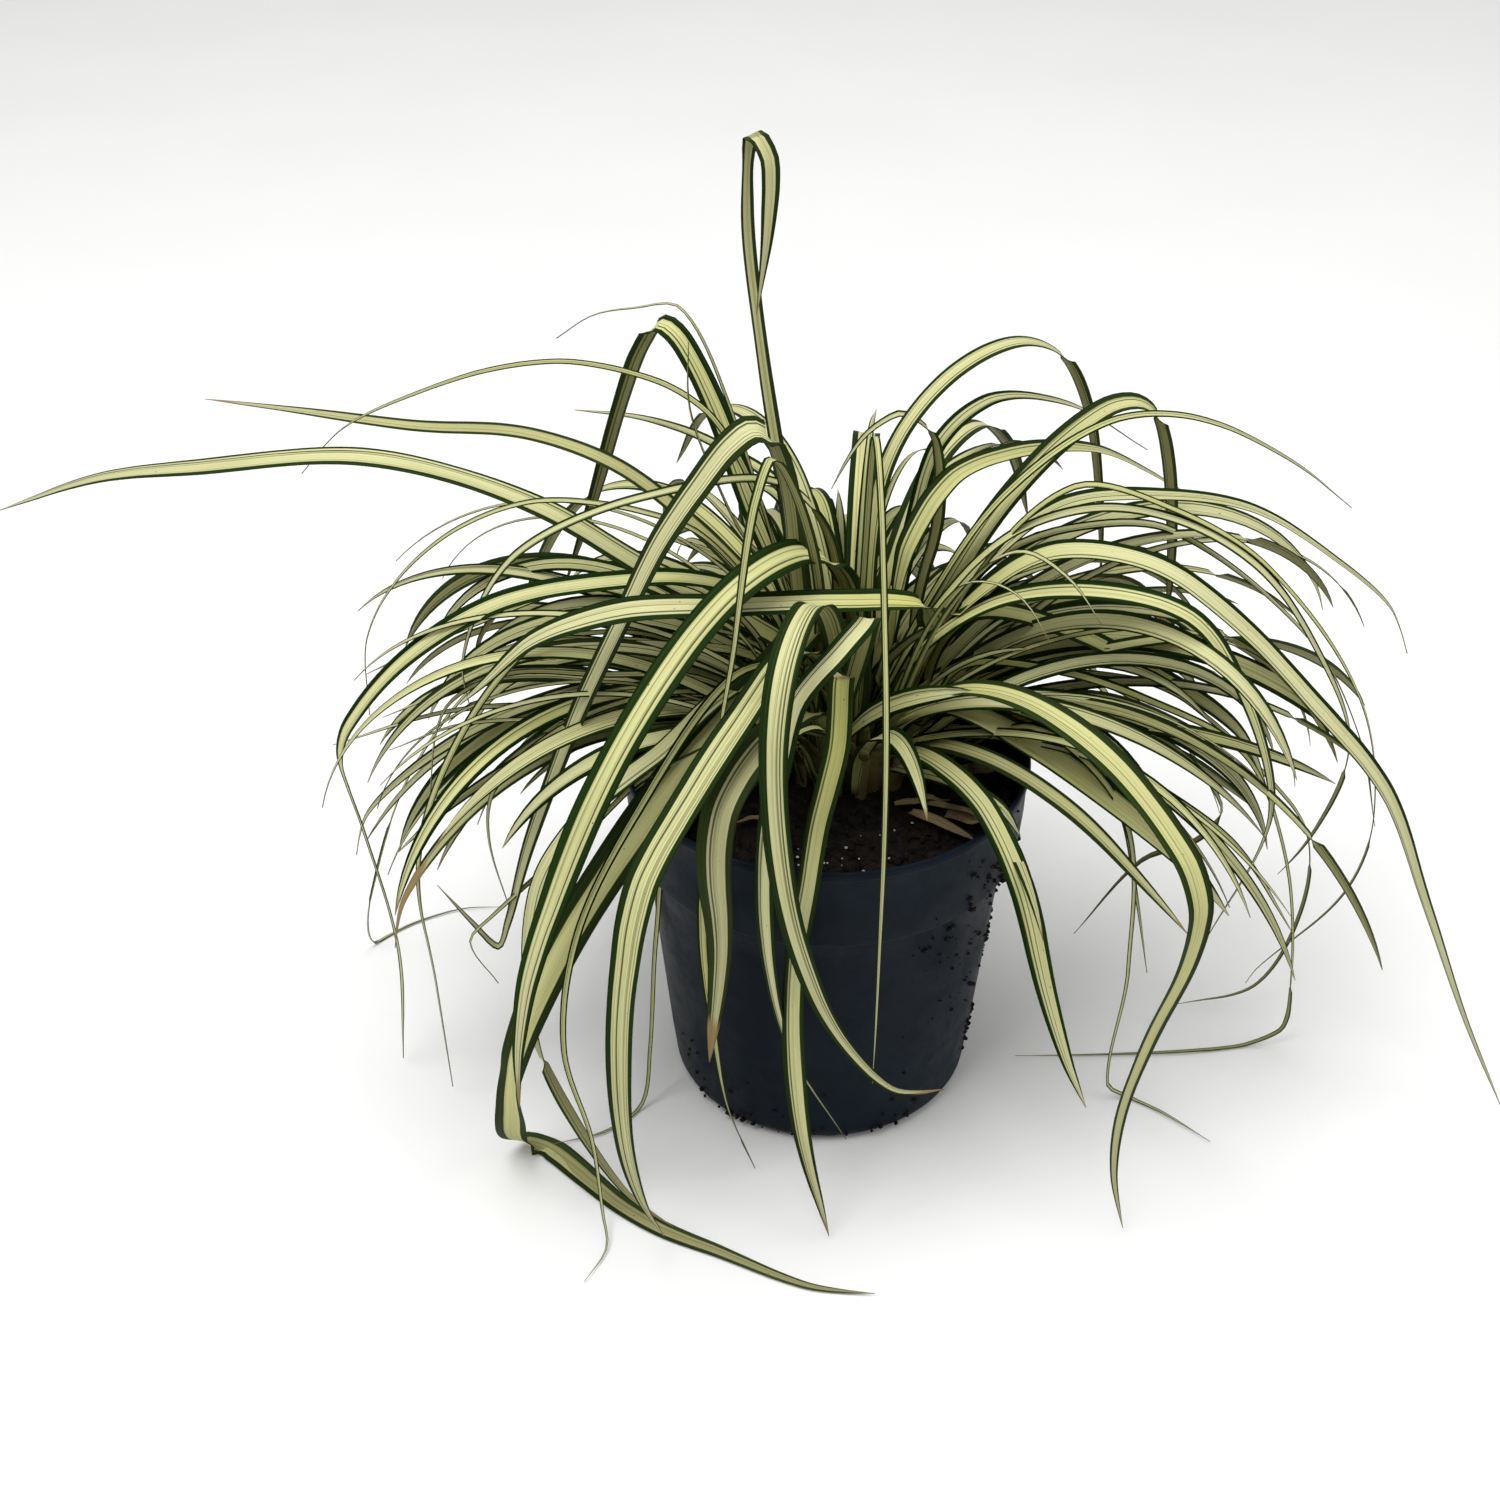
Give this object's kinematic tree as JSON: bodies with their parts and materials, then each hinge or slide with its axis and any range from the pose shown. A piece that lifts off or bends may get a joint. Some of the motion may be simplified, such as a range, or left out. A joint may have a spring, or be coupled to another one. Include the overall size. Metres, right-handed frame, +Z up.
{
  "type": "potted carex",
  "caption": "Variegated sedge with long arching striped leaves, growing in a round tapered plastic nursery pot.",
  "frame": {"origin": "centre of the pot's underside, on the surface that the pot stands on", "axes": "+Z up along the pot's axis, +X to the plant's right seen from the front, -Y to the front"},
  "size_m": [0.4985, 0.2813, 0.3184],
  "materials": {
    "pot": "satin moulded plastic, dark slate blue-grey, with crumbs of compost stuck to it",
    "soil": "moist dark compost with white perlite specks",
    "crown": "pale leaf bases and sheaths",
    "leaf": "satin leaf, cream-yellow centre with dark green margins and fine veins"
  },
  "bodies": {
    "root": {"pot": "pot", "soil": "soil", "crown": "crown", "leaf_spire": "leaf", "leaf_front_left_fold": "leaf", "leaf_front_left_arch": "leaf", "leaf_front_left_wide": "leaf", "leaf_front_left_trailing": "leaf", "leaf_front_left_outer": "leaf", "leaf_front_dull": "leaf", "leaf_front_thread": "leaf", "leaf_front_hook": "leaf", "leaf_front_centre": "leaf", "leaf_front_crease": "leaf", "leaf_front_needle": "leaf", "leaf_crossing": "leaf", "leaf_right_back_arch": "leaf", "leaf_right_back_inner": "leaf", "leaf_right_back_high": "leaf", "leaf_right_fold": "leaf", "leaf_right_high_thread": "leaf", "leaf_right_long_thin": "leaf", "leaf_right_hook": "leaf", "leaf_right_curl": "leaf", "leaf_right_long": "leaf", "leaf_right_broad": "leaf", "leaf_right_trailing": "leaf", "leaf_front_right_twist": "leaf", "leaf_front_right_broad": "leaf", "leaf_front_right_brown": "leaf", "leaf_front_right_drop": "leaf", "leaf_front_right_short": "leaf", "leaf_right_low": "leaf", "leaf_right_low_thin": "leaf", "leaf_right_thread": "leaf", "leaf_left_long": "leaf", "leaf_left_fold": "leaf", "leaf_left_back_long": "leaf", "leaf_left_back_high": "leaf", "leaf_left_back_inner": "leaf", "leaf_left_thin_arc": "leaf", "leaf_left_inner_arc": "leaf", "leaf_centre_loop": "leaf", "leaf_left_drop": "leaf", "leaf_left_outer": "leaf", "leaf_left_slim": "leaf", "leaf_left_strand": "leaf", "leaf_left_low": "leaf", "leaf_left_low_droop": "leaf", "leaf_left_low_brown": "leaf", "leaf_left_low_thread": "leaf", "leaf_left_back_droop": "leaf", "leaf_left_withered": "leaf", "leaf_back_right": "leaf", "leaf_back_right_low": "leaf", "leaf_back": "leaf", "leaf_back_left": "leaf", "leaf_back_left_high": "leaf", "leaf_back_left_low": "leaf"}
  },
  "joints": []
}
